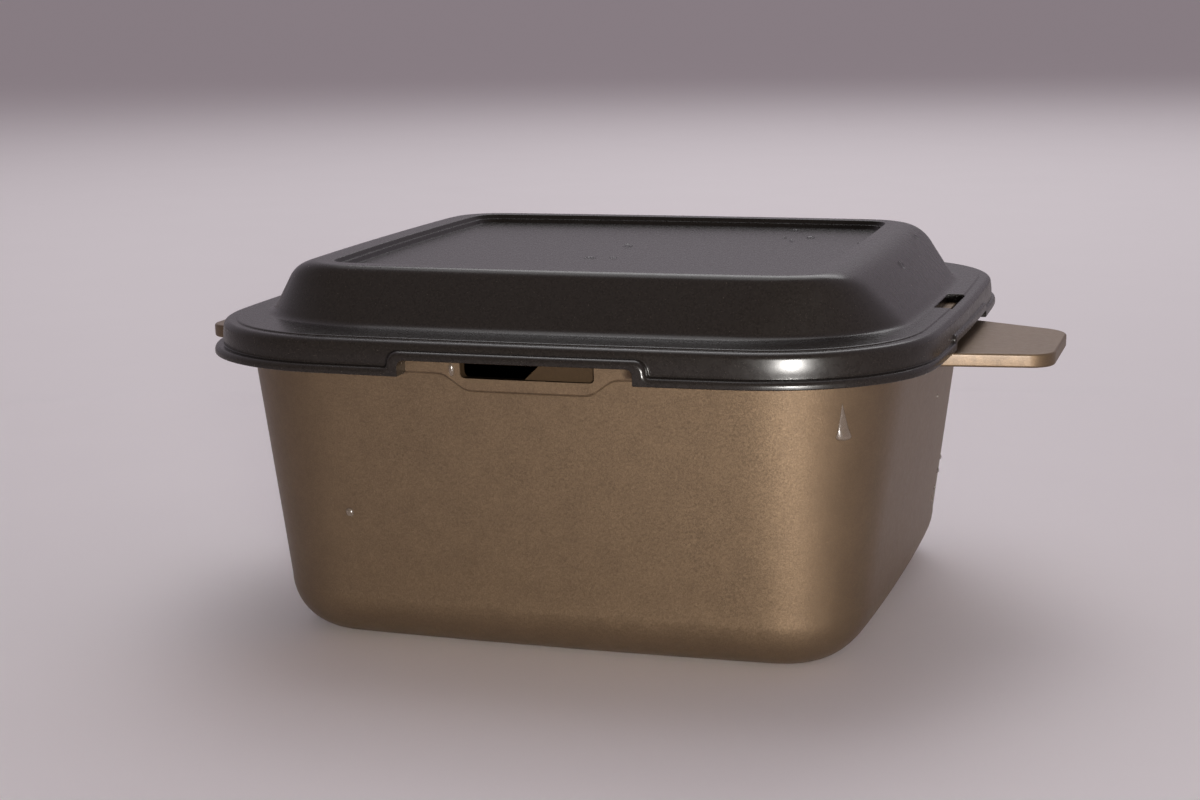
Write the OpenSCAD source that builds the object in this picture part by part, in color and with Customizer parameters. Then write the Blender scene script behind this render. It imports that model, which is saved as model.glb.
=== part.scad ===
// Microwave cooking container: a tapered tub with two side tabs, under a domed lid with a skirt.
// Units are millimetres. The origin is at the middle of the base, on the surface it stands on.
// +X points to the right-hand tab and -Y to the front, where the rim is notched.
// Every level of both pieces is one outline: a core rectangle grown by a radius, with bowed sides.

/* [Overall form] */
// Half width of the core rectangle, up to the corner centres
core_x = 57; // [50:1:80]
// Half depth of the core rectangle, up to the corner centres
core_y = 50.5; // [46:0.5:80]
// How far the middle of each side stands out from its corners, near the rim
bow_rim = 2.8; // [0:0.1:4]
// The same bow at the tub's base
bow_base = 1.7; // [0:0.1:3]
// The same bow at the crest of the lid
bow_crest = 1.4; // [0:0.1:3]

/* [Tub] */
// Height of the tub, from the surface it stands on to its rim
tub_h = 79.2; // [70:0.2:100]
// Growth of the tub's outline just under the band of the rim
tub_top_r = 27.9; // [26:0.1:29]
// Growth of the tub's outline where the wall meets the base fillet
tub_base_r = 19.9; // [16:0.1:24]
// Outer radius between the wall and the base
base_fillet = 14.5; // [10:0.5:18]
// Wall thickness of the tub
tub_wall = 2.2; // [1.6:0.1:2.6]
// Thickness of the floor above the base recess
floor_t = 2.4; // [1.8:0.1:4]
// Depth of the recess inside the standing ring of the base
recess_d = 0.8; // [0.4:0.1:1.4]
// Width of the standing ring of the base
foot_w = 3; // [2:0.5:5]

/* [Rim of the tub] */
// Height of the thicker band below the rim
band_h = 6.8; // [5:0.1:10]
// How far the band stands out from the wall
band_out = 0.9; // [0.5:0.1:1.3]
// Height of the bead at the very top
bead_h = 1.6; // [1.2:0.1:2]
// How far the bead stands out from the band
bead_out = 1.4; // [1:0.1:1.8]

/* [Vent notches] */
// Width of the notch at the front, and of the one at the back
notch_w = 33.4; // [24:0.2:36]
// Depth of the notch below the rim
notch_h = 7.6; // [6:0.1:9]
// Radius at the bottom corners of the notch
notch_r = 1.2; // [0.6:0.1:1.6]
// How deep the whole notch goes into the wall, before the web behind it
notch_recess = 2; // [1.4:0.1:2]
// Where the web behind the notch starts, from the middle, at the notch's bottom
web_x = -1.1; // [-3:0.1:4]
// How far the edge of the web leans outwards for each millimetre of height
web_lean = 1.05; // [0.5:0.05:1.6]
// How far the band reaches down below the notch
pad_drop = 3.3; // [2:0.1:4]
// How far the pad is wider than the notch at its lower edge, on each side
pad_side = -0.6; // [-2:0.1:1]
// How far the pad widens on its way up to the band, on each side
pad_flare = 5.8; // [4:0.1:7]

/* [Side tabs] */
// How far the tab reaches out from the wall
tab_l = 30.5; // [24:0.1:40]
// Width of the tab at the tub
tab_root_w = 54; // [44:1:60]
// Width of the tab at its end
tab_tip_w = 41; // [34:1:50]
// Corner radius at the tab's end
tab_r = 8; // [5:0.5:12]
// Radius where the tab flows into the wall
tab_root_r = 2.5; // [1:0.5:4]
// Thickness of the tab
tab_t = 3.5; // [2.6:0.1:4.5]
// Rounding along the tab's edges
tab_edge = 0.6; // [0.3:0.1:1]
// Drop of the tab's top below the rim of the tub
tab_drop = 6.5; // [5:0.1:9]
// Angle by which the tab leans down towards its end
tab_lean = 2; // [0:0.5:5]

/* [Lid] */
// Wall thickness of the lid
lid_wall = 2.2; // [1.6:0.1:2.6]
// Thickness of the skirt
skirt_t = 2.6; // [2:0.1:3]
// Gap between the tub's bead and the inside of the skirt
skirt_gap = 2.7; // [2:0.1:4]
// Depth of the skirt, from the rim's top to the lower edge of the lip
skirt_h = 8.2; // [7.8:0.1:9]
// Rounding along the rim's outer edge
rim_edge = 1.3; // [0.8:0.1:1.3]
// Distance of the fine step on the rim from the skirt's face
step_in = 3.4; // [2.6:0.1:5]
// Height of the fine step on the rim
step_h = 0.3; // [0.2:0.05:0.5]
// Height of the crest above the rim
dome_h = 13.8; // [10:0.2:20]
// Distance of the dome's foot from the tub's mouth, at the front and back
dome_gap = 4.7; // [3:0.1:7]
// Distance of the dome's foot from the moulding slots, at the sides
dome_slot_gap = 1.4; // [0.8:0.1:4]
// How far the dome's slope runs in from its foot to its crest, at the front and back
dome_run = 10.3; // [8:0.1:12]
// The same run at the sides
dome_side_run = 10.9; // [8:0.1:12]
// How much rounder the corners of the dome's foot are than those of the rim
dome_round = 8.5; // [0:0.5:12]
// Radius of the hollow at the foot of the dome
dome_foot_fillet = 3.5; // [2:0.1:5]
// Radius of the shoulder at the crest of the dome, at the front and back
dome_shoulder = 3.6; // [2:0.1:4]
// Radius of the broad shoulder at the sides
dome_side_shoulder = 12; // [6:0.5:14]
// Width of the ridge round the top panel
ridge_w = 3.4; // [2.6:0.1:4]
// Depth of the top panel below the ridge
panel_d = 2.3; // [1.2:0.1:3]
// Width of the ledge half way down to the panel
panel_ledge = 0.9; // [0.5:0.1:1.5]

/* [Lip and catches of the lid] */
// How far the lip stands out from the skirt at the front, back and corners
lip_out = 2.6; // [1.5:0.1:3.5]
// How far the lip stands out along the two sides
lip_side_out = 0.7; // [0.4:0.1:1.5]
// Thickness of the lip
lip_t = 2; // [1.6:0.1:2.2]
// Width of the cut-out in the lip at the front and back
cut_front_w = 59.8; // [50:0.2:70]
// How far the edge rises in the front and back cut-outs
cut_front_h = 3.9; // [3:0.1:4.5]
// How far the edge rises over each tab, along the width of the tab's root
cut_side_h = 1.9; // [1:0.1:2.4]
// Radius at the inner corners of the cut-outs' lower edge
cut_r = 1.6; // [1:0.1:1.8]
// Width of each moulding slot in the rim
slot_w = 4.6; // [4:0.1:5]
// Distance of each moulding slot from the inside of the skirt
slot_gap = 0.5; // [0.3:0.1:1]
// How far each moulding slot is longer than its catch, at each end
slot_over = 0.7; // [0.3:0.1:1.5]
// Length of each catch under its slot
catch_l = 22; // [14:0.2:24]
// Height of each catch
catch_h = 2; // [1.4:0.1:2.2]
// How far each catch reaches under the bead
catch_hold = 1; // [0.6:0.1:1.2]
// Gap between a catch and the bead above it
catch_gap = 0.3; // [0.2:0.05:0.5]

/* [Smoothness] */
// Number of steps round each corner
corner_steps = 9; // [6:1:12]

/* [Hidden] */
bronze = [0.43, 0.34, 0.24];
charcoal = [0.17, 0.155, 0.15];
// How far a cut runs past the faces that it opens
through = 1;
// The four corners: their side in x and in y, and the angle of their first point
CORNERS = [[1, -1, -90], [1, 1, 0], [-1, 1, 90], [-1, -1, 180]];

// Levels of the tub
wall_foot_z = base_fillet;
band_z = tub_h - band_h;
pad_z = tub_h - notch_h - pad_drop;
band_r = tub_top_r + band_out;
bead_r = band_r + bead_out;
rim_inner_r = tub_top_r - tub_wall;
inner_fillet = base_fillet - tub_wall;
floor_z = recess_d + floor_t;
band_step = 0.7;
bead_soft = 0.4;
// Height over which the wall's evenly spread points gather to those of the pads, outside and inside
gather_h = 12;
inner_gather_h = 2;

// Levels of the lid, from the tub's rim that carries it
rim_under_z = tub_h;
rim_z = rim_under_z + lid_wall;
lip_z = rim_z - skirt_h;
crest_z = rim_z + dome_h;
skirt_inner_r = bead_r + skirt_gap;
skirt_r = skirt_inner_r + skirt_t;
slot_outer_r = skirt_inner_r - slot_gap;
slot_inner_r = slot_outer_r - slot_w;
dome_foot_r = rim_inner_r - dome_gap;
dome_crest_r = dome_foot_r - dome_run;
dome_side_foot_r = slot_inner_r - dome_slot_gap;
ridge_inner_r = dome_crest_r - dome_shoulder*0.5 - ridge_w;
ledge_draft = 0.3;
panel_r = ridge_inner_r - panel_ledge - 2*ledge_draft;
lip_soft = 0.3;
under_soft = 0.8;
catch_top_z = tub_h - bead_h - catch_gap;
lip_fade = 30;
// Least radius of a round under the crest, and the steps in the rounds of the dome
least_round = 0.6;
outer_steps = 6;
inner_steps = 3;
foot_steps = 3;
cut_side_w = tab_root_w;
slot_l = catch_l + 2*slot_over;

// Bends a rounded rectangle of half sizes a and b, so that its sides bow out by k
function bowed(p, a, b, k) = [
    p.x*(1 - k/a*pow(p.y/b, 2)),
    p.y*(1 - k/b*pow(p.x/a, 2))
];

// Eases from 0 to 1 as t goes from 0 to 1
function ease(t) = let(u = max(0, min(1, t))) u*u*(3 - 2*u);

// Growth at an angle off the side direction, between the sides' value and the front's
function growth(off, r_front, r_side) = r_side + (r_front - r_side)*ease(off/lip_fade);

// One round corner of an outline, as [x, y, lift] points
function corner(c, r_front, r_side) = [
    for (i = [0:corner_steps])
        let(
            t = c[2] + 90*i/corner_steps,
            off = abs(asin(sin(t))),
            r = growth(off, r_front, r_side)
        )
        [c[0]*core_x + r*cos(t), c[1]*core_y + r*sin(t), 0]
];

// One corner of the dome: a quarter of an ellipse, rounder than the rim's corner by more
function dome_corner(c, r_front, r_side, more) = [
    for (i = [0:corner_steps])
        let(t = c[2] + 90*i/corner_steps)
        [
            c[0]*(core_x - more) + (r_side + more)*cos(t),
            c[1]*(core_y - more) + (r_front + more)*sin(t),
            0
        ]
];

// A whole level of half sizes a and b, where front and side hold [place, lift] pairs from the low
// end to the high end, and corners holds the points of the four corners
function ring(z, a, b, bow, front, side, corners) =
    let(
        flat = concat(
            [for (p = front) [p[0], -b, p[1]]],
            corners[0],
            [for (p = side) [a, p[0], p[1]]],
            corners[1],
            [for (p = front) [-p[0], b, p[1]]],
            corners[2],
            [for (p = side) [-a, -p[0], p[1]]],
            corners[3]
        )
    )
    [for (p = flat) let(q = bowed(p, a, b, bow)) [q.x, q.y, z + p[2]]];

// A level that is the core rectangle grown by a radius, which may differ at the front and the sides
function level(z, r_front, r_side, bow, front, side) =
    ring(
        z, core_x + r_side, core_y + r_front, bow, front, side,
        [for (c = CORNERS) corner(c, r_front, r_side)]
    );

// Closes a stack of levels into one solid, with a flat cap at each end
module loft(levels) {
    n = len(levels[0]);
    m = len(levels);
    skin = [
        for (i = [0:m - 2], j = [0:n - 1])
            let(a = i*n + j, b = i*n + (j + 1)%n, c = a + n, d = b + n)
            each [[a, c, b], [b, c, d]]
    ];
    polyhedron(
        points = [for (l = levels) each l],
        faces = concat(
            skin,
            [[for (j = [0:n - 1]) j]],
            [[for (j = [n - 1:-1:0]) (m - 1)*n + j]]
        ),
        convexity = 10
    );
}

// Both halves of a mirrored list of [place, lift] pairs, with one pair in the middle
function mirrored(half, mid) = concat(
    [for (i = [len(half) - 1:-1:0]) [-half[i][0], half[i][1]]],
    [[0, mid]],
    half
);

// Bow and growth of the tub's wall at height z
function wall_share(z) = (z - wall_foot_z)/(band_z - wall_foot_z);
function wall_r(z) = tub_base_r + (tub_top_r - tub_base_r)*wall_share(z);
function wall_bow(z) = bow_base + (bow_rim - bow_base)*max(0, min(1, wall_share(z)));

// Lower edge of the band along the front, dropped round the notch, as [place, lift] pairs
pad_low_x = notch_w/2 + pad_side;
pad_top_x = pad_low_x + pad_flare;
pad_lift = pad_z - band_z;
pad_soft = 0.8;
pad_half = [
    [pad_low_x - pad_soft, pad_lift],
    [pad_low_x + pad_soft, pad_lift*(1 - 1.5*pad_soft/pad_flare)],
    [pad_top_x - pad_soft, pad_lift*1.5*pad_soft/pad_flare],
    [pad_top_x + pad_soft, 0]
];
tub_side = mirrored([[core_y*0.55, 0]], 0);
pad_edge = mirrored(pad_half, pad_lift);
pad_even = [for (i = [1:len(pad_half)]) [core_x*i/(len(pad_half) + 0.6), 0]];
tub_front = mirrored(pad_even, 0);
rim_front = [for (p = pad_edge) [p[0], 0]];

// Plain levels of the tub's wall and of its rim
function tub_level(z, r) = level(z, r, r, wall_bow(z), tub_front, tub_side);
function rim_level(z, r) = level(z, r, r, wall_bow(z), rim_front, tub_side);

// A level that follows the band's lower edge, where the wall's growth changes with the height
pad_lifts = [for (p = level(0, 1, 1, 0, pad_edge, tub_side)) p.z];
function pad_level(rise, out) = [
    for (i = [0:len(pad_lifts) - 1])
        let(z = band_z + pad_lifts[i] + rise)
        rim_level(z, wall_r(z) + out)[i]
];

// Levels of a round between the wall and the floor, for a wall growth r and a radius f
function round_level(a, r, f, z) = tub_level(z + f*(1 - sin(a)), r - f*(1 - cos(a)));

tub_levels = concat(
    [tub_level(recess_d, tub_base_r - base_fillet - foot_w)],
    [tub_level(0, tub_base_r - base_fillet - foot_w + recess_d)],
    [for (a = [90:-15:0]) round_level(a, tub_base_r, base_fillet, 0)],
    [tub_level(pad_z - gather_h, wall_r(pad_z - gather_h))],
    [pad_level(0, 0)],
    [pad_level(band_step, band_out)],
    [rim_level(tub_h - bead_h, band_r)],
    [rim_level(tub_h - bead_h + bead_soft, bead_r)],
    [rim_level(tub_h - bead_soft, bead_r)],
    [rim_level(tub_h, bead_r - bead_soft)],
    [rim_level(tub_h, rim_inner_r + bead_soft)],
    [rim_level(tub_h - bead_soft, rim_inner_r)],
    [tub_level(pad_z - inner_gather_h, wall_r(pad_z - inner_gather_h) - tub_wall)],
    [for (a = [0:18:90]) round_level(a, tub_base_r - tub_wall, inner_fillet, floor_z)]
);

// Outline of the notch, seen from the front, open at the rim
module notch_shape() {
    w = notch_w/2;
    bottom = tub_h - notch_h;
    polygon(concat(
        [[w, tub_h + through], [-w, tub_h + through]],
        [for (a = [180:15:270]) [-w + notch_r + notch_r*cos(a), bottom + notch_r + notch_r*sin(a)]],
        [for (a = [270:15:360]) [w - notch_r + notch_r*cos(a), bottom + notch_r + notch_r*sin(a)]]
    ));
}

// The part of the notch that goes right through, beside the leaning edge of the web
module vent_shape() {
    bottom = tub_h - notch_h;
    intersection() {
        notch_shape();
        polygon([
            [-notch_w, bottom - through],
            [web_x - web_lean*through, bottom - through],
            [web_x + web_lean*(notch_h + through), tub_h + through],
            [-notch_w, tub_h + through]
        ]);
    }
}

// Cuts for one notch, through the wall on the -Y side
module notch_cut() {
    translate([0, -core_y - band_r + notch_recess, 0])
        rotate([90, 0, 0])
            linear_extrude(notch_recess + bead_out + through)
                notch_shape();
    translate([0, -core_y - rim_inner_r + through, 0])
        rotate([90, 0, 0])
            linear_extrude(bead_r - rim_inner_r + 2*through)
                vent_shape();
}

// Outline of one tab, drawn in from its edge by d, from inside the wall to its end
function tab_outline(d) =
    let(
        wall_x = core_x + wall_r(band_z),
        root_x = wall_x - tub_wall/2,
        tip = tab_tip_w/2 - d,
        end = wall_x + tab_l - d,
        r = tab_r - d,
        hollow = tab_root_r + d,
        hollow_x = wall_x + tab_root_r,
        hollow_y = tab_root_w/2 + tab_root_r,
        turn = 90 - atan2((tab_root_w - tab_tip_w)/2, tab_l),
        half = concat(
            [[root_x, hollow_y + tab_root_r/2]],
            [for (a = [200:35:270]) [hollow_x + hollow*cos(a), hollow_y + hollow*sin(a)]],
            [for (a = [turn:-turn/5:0.01]) [end - r + r*cos(a), tip - r + r*sin(a)]],
            [[end, tip - r]]
        )
    )
    concat(
        [for (p = half) [p.x, p.y]],
        [for (i = [len(half) - 1:-1:0]) [half[i].x, -half[i].y]]
    );

// One tab on the +X side, with its edges rounded
module tab() {
    hinge_x = core_x + wall_r(band_z);
    top = tub_h - tab_drop;
    steps = [
        [tab_edge, top],
        [0, top - tab_edge],
        [0, top - tab_t + tab_edge],
        [tab_edge, top - tab_t]
    ];
    translate([hinge_x, 0, top])
        rotate([0, tab_lean, 0])
            translate([-hinge_x, 0, -top])
                loft([for (s = steps) [for (p = tab_outline(s[0])) [p.x, p.y, s[1]]]]);
}

module tub() {
    color(bronze)
        difference() {
            union() {
                loft(tub_levels);
                for (turn = [0, 180])
                    rotate([0, 0, turn])
                        tab();
            }
            for (turn = [0, 180])
                rotate([0, 0, turn])
                    notch_cut();
        }
}

// Lower edge of the lip beside a cut-out: [place, lift] from the raised part down to the level part
function cut_low(w, h) = let(r = min(cut_r, 0.6*h)) [
    [w - r, h],
    [w - r*0.3, h - r*0.3],
    [w, h - r],
    [w + 0.1, 0.3],
    [w + 0.4, 0]
];

// Upper edge of the lip beside a cut-out, which comes down in a quarter of a circle
function cut_high(w, h) = [for (a = [0:22.5:90]) [w + h*sin(a), h*cos(a)]];

front_low = mirrored(cut_low(cut_front_w/2, cut_front_h), cut_front_h);
front_high = mirrored(cut_high(cut_front_w/2, cut_front_h), cut_front_h);
side_low = mirrored(cut_low(cut_side_w/2, cut_side_h), cut_side_h);
side_high = mirrored(cut_high(cut_side_w/2, cut_side_h), cut_side_h);
front_plain = [for (p = front_high) [p[0], 0]];
side_plain = [for (p = side_high) [p[0], 0]];

// Plain levels of the lid's rim and of its panel
function lid_level(r, z) = level(z, r, r, bow_rim, front_plain, side_plain);
function panel_level(r, z) = level(z, r, r, bow_crest, front_plain, side_plain);

// Levels of the lid that follow the lower or upper edge of the lip
function low_level(r_front, r_side, z) = level(z, r_front, r_side, bow_rim, front_low, side_low);
function high_level(r_front, r_side, z) = level(z, r_front, r_side, bow_rim, front_high, side_high);

// Growth of the dome's slope at a height h over its foot, with its two rounds, for a surface that
// lies d inside the outer one
function slope_growth(h, d, foot_r, run, shoulder) =
    let(
        s = atan2(dome_h, run),
        foot_f = dome_foot_fillet + d,
        top_f = max(least_round, shoulder - d),
        foot = foot_r - d*tan(s/2),
        low = h/foot_f,
        high = (dome_h - h)/top_f
    )
    low < 1 - cos(s) ? foot + foot_f*(tan(s/2) - sqrt(1 - pow(1 - low, 2)))
    : high < 1 - cos(s) ? foot - run - top_f*(tan(s/2) - sqrt(1 - pow(1 - high, 2)))
    : foot - h*run/dome_h;

// Heights of the dome's levels over its foot, close together where its rounds are flat
function dome_heights(d, steps) =
    let(
        steep = 1 - cos(atan2(dome_h, min(dome_run, dome_side_run))),
        low = (dome_foot_fillet + d)*steep,
        high = (max(dome_shoulder, dome_side_shoulder) - d)*steep
    )
    concat(
        [for (i = [0:foot_steps]) low*pow(i/foot_steps, 2)],
        [for (i = [steps:-1:0]) dome_h - high*pow(i/steps, 2)]
    );

// A level of the dome: its corners are roundest at its foot
function dome_level(h, d) =
    let(
        share = h/dome_h,
        r_front = slope_growth(h, d, dome_foot_r, dome_run, dome_shoulder),
        r_side = slope_growth(h, d, dome_side_foot_r, dome_side_run, dome_side_shoulder),
        more = dome_round*(1 - share)
    )
    ring(
        rim_z - d + h, core_x + r_side, core_y + r_front, bow_rim + (bow_crest - bow_rim)*share,
        front_plain, side_plain, [for (c = CORNERS) dome_corner(c, r_front, r_side, more)]
    );

inner_heights = dome_heights(lid_wall, inner_steps);
lid_levels = concat(
    [panel_level(ridge_inner_r + lid_wall*0.3, crest_z - panel_d - lid_wall)],
    [panel_level(ridge_inner_r + lid_wall*0.7, crest_z - lid_wall)],
    [for (i = [len(inner_heights) - 1:-1:0]) dome_level(inner_heights[i], lid_wall)],
    [lid_level(skirt_inner_r - under_soft, rim_under_z)],
    [lid_level(skirt_inner_r, rim_under_z - under_soft)],
    [low_level(skirt_inner_r, skirt_inner_r, lip_z)],
    [low_level(skirt_r + lip_out, skirt_r + lip_side_out, lip_z)],
    [high_level(skirt_r + lip_out, skirt_r + lip_side_out, lip_z + lip_t - lip_soft)],
    [high_level(skirt_r + lip_out - lip_soft, skirt_r + lip_side_out - lip_soft, lip_z + lip_t)],
    [high_level(skirt_r, skirt_r, lip_z + lip_t)],
    [lid_level(skirt_r - rim_edge*0.3, rim_z - step_h - rim_edge*0.3)],
    [lid_level(skirt_r - rim_edge, rim_z - step_h)],
    [lid_level(skirt_r - step_in, rim_z - step_h)],
    [lid_level(skirt_r - step_in - step_h, rim_z)],
    [for (h = dome_heights(0, outer_steps)) dome_level(h, 0)],
    [panel_level(ridge_inner_r, crest_z)],
    [panel_level(ridge_inner_r - ledge_draft, crest_z - panel_d/2)],
    [panel_level(ridge_inner_r - ledge_draft - panel_ledge, crest_z - panel_d/2)],
    [panel_level(panel_r, crest_z - panel_d)]
);

// One catch on the +X side, with a lead-in below
module catch_hook() {
    tip = core_x + bead_r - catch_hold;
    root = core_x + skirt_inner_r + skirt_t/4;
    translate([0, catch_l/2, 0])
        rotate([90, 0, 0])
            linear_extrude(catch_l)
                polygon([
                    [root, catch_top_z],
                    [tip, catch_top_z],
                    [tip, catch_top_z - catch_h*0.4],
                    [tip + catch_h*0.6, catch_top_z - catch_h],
                    [root, catch_top_z - catch_h]
                ]);
}

// One moulding slot through the rim on the +X side
module rim_slot() {
    translate([core_x + slot_inner_r, -slot_l/2, rim_under_z - through])
        cube([slot_w, slot_l, lid_wall + 2*through]);
}

module lid() {
    color(charcoal)
        difference() {
            union() {
                loft(lid_levels);
                for (turn = [0, 180])
                    rotate([0, 0, turn])
                        catch_hook();
            }
            for (turn = [0, 180])
                rotate([0, 0, turn])
                    rim_slot();
        }
}

tub();
lid();
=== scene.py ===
"""Dresses a lidded cooking container: a bronze tub with two tabs under a charcoal domed lid.

Both pieces are lofts of one outline, a bowed rectangle with round corners that is grown by a
radius at every level. The sizes are in millimetres; the meshes are made in metres.
"""

import logging
import math
from collections.abc import Sequence
from dataclasses import dataclass, field
from enum import Enum

import bmesh
import bpy
import numpy as np
from mathutils import Matrix, Vector
from mathutils.bvhtree import BVHTree


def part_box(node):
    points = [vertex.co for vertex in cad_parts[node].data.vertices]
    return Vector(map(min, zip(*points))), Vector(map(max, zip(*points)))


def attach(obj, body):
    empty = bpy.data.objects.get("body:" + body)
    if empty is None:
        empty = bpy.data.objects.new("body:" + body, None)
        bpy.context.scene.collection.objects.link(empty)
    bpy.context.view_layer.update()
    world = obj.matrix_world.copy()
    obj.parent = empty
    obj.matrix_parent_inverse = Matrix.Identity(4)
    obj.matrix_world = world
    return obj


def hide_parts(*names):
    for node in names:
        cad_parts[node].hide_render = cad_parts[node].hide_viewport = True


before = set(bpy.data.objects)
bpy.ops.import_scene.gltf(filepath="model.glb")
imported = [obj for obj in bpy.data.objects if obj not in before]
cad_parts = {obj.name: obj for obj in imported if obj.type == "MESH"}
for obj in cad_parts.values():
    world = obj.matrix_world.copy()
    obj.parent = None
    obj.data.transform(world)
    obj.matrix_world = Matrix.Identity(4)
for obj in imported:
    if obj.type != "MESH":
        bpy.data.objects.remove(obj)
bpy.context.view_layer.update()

MM = 0.001
SHARP_ANGLE = math.radians(38)
# How far from a level a face of it may lie, in millimetres, and how much of it has to face up.
NEAR = 0.02
FLAT = 0.9
LOG = logging.getLogger("container")

Colour = tuple[float, float, float]


class Slot(Enum):
    """The record's material slots."""

    TUB = "tub"
    LID = "lid"


class Facing(Enum):
    """The side from which a drop is set on a surface, as the direction in which it is pressed on."""

    FRONT = (0.0, 1.0, 0.0)
    RIGHT = (-1.0, 0.0, 0.0)
    TOP = (0.0, 0.0, -1.0)


def ease(share: np.ndarray | float) -> np.ndarray | float:
    """Eases from 0 to 1 as share goes from 0 to 1."""
    u = np.clip(share, 0.0, 1.0)
    return u * u * (3.0 - 2.0 * u)


def soft_ramp(share: np.ndarray, softness: float) -> np.ndarray:
    """Rises in a straight line from 0 to 1 as share does, with both of its corners rounded.

    Args:
        share: Where along the ramp, 0 at its foot and 1 at its top.
        softness: Length of the rounding at each corner, as a share of the ramp.

    Returns:
        The height at each share, between 0 and 1.
    """

    def bent(u: np.ndarray) -> np.ndarray:
        """A line that starts to rise at 0, with a round there."""
        return softness * np.logaddexp(0.0, u / softness)

    return bent(share) - bent(share - 1.0)


def level_run(start: float, end: float, count: int, lift: float = 0.0) -> np.ndarray:
    """Evenly spread [place, lift] rows at one lift, from one place to another."""
    return np.column_stack([np.linspace(start, end, count), np.full(count, lift)])


def mirrored(half: np.ndarray) -> np.ndarray:
    """Both halves of an edge whose [place, lift] rows start at the middle, from low to high place."""
    other = half[:0:-1] * np.array([-1.0, 1.0])
    return np.vstack([other, half])


def gathered(edge: np.ndarray, start: float, end: float, more: float) -> np.ndarray:
    """Draws the outer rows of an edge in, so that they leave room for a rounder corner.

    Args:
        edge: [place, lift] rows.
        start: Place beyond which the rows are drawn in.
        end: Place up to which they reach.
        more: How much sooner they are to end.

    Returns:
        The rows with their new places.
    """
    place = np.abs(edge[:, 0])
    drawn = start + (place - start) * (end - more - start) / (end - start)
    place = np.where(place > start, drawn, place)
    return np.column_stack([np.sign(edge[:, 0]) * place, edge[:, 1]])


def moved(edge: np.ndarray, rise: float) -> np.ndarray:
    """Moves an edge square to its own run, for a level that stands a rise above the one it belongs to.

    Args:
        edge: [place, lift] rows.
        rise: How far it is moved, upwards where it runs level.

    Returns:
        The rows, with the level's own rise taken off their lift.
    """
    run = np.gradient(edge, axis=0)
    run = run / np.linalg.norm(run, axis=1, keepdims=True)
    return edge + rise * np.column_stack([-run[:, 1], run[:, 0] - 1.0])


def arc(centre: tuple[float, float], radius: float, start: float, end: float, steps: int) -> np.ndarray:
    """Points of an arc.

    Args:
        centre: Its centre.
        radius: Its radius.
        start: Angle of the first point, in degrees.
        end: Angle of the last point, in degrees.
        steps: Number of stretches between the points.

    Returns:
        One row for each point.
    """
    turn = np.radians(np.linspace(start, end, steps + 1))
    return np.column_stack([centre[0] + radius * np.cos(turn), centre[1] + radius * np.sin(turn)])


def rounding(radius: float, start: float, end: float, steps: int) -> list[tuple[float, float]]:
    """Steps along a quarter round, from its flat end at 90 degrees to its steep one at 0, or back.

    Args:
        radius: Its radius.
        start: Angle of the first step, in degrees.
        end: Angle of the last step, in degrees.
        steps: Number of stretches between the steps.

    Returns:
        For each step, how far it lies back from the steep face and from the flat one.
    """
    turns = np.radians(np.linspace(start, end, steps + 1))
    return [(radius * (1 - math.cos(a)), radius * (1 - math.sin(a))) for a in turns]


def placed(name: str, data: bpy.types.ID) -> bpy.types.Object:
    """Puts a new object into the scene.

    Args:
        name: Its name.
        data: Its mesh, lamp or camera.

    Returns:
        The object.
    """
    made = bpy.data.objects.new(name, data)
    bpy.context.scene.collection.objects.link(made)
    return made


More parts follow.
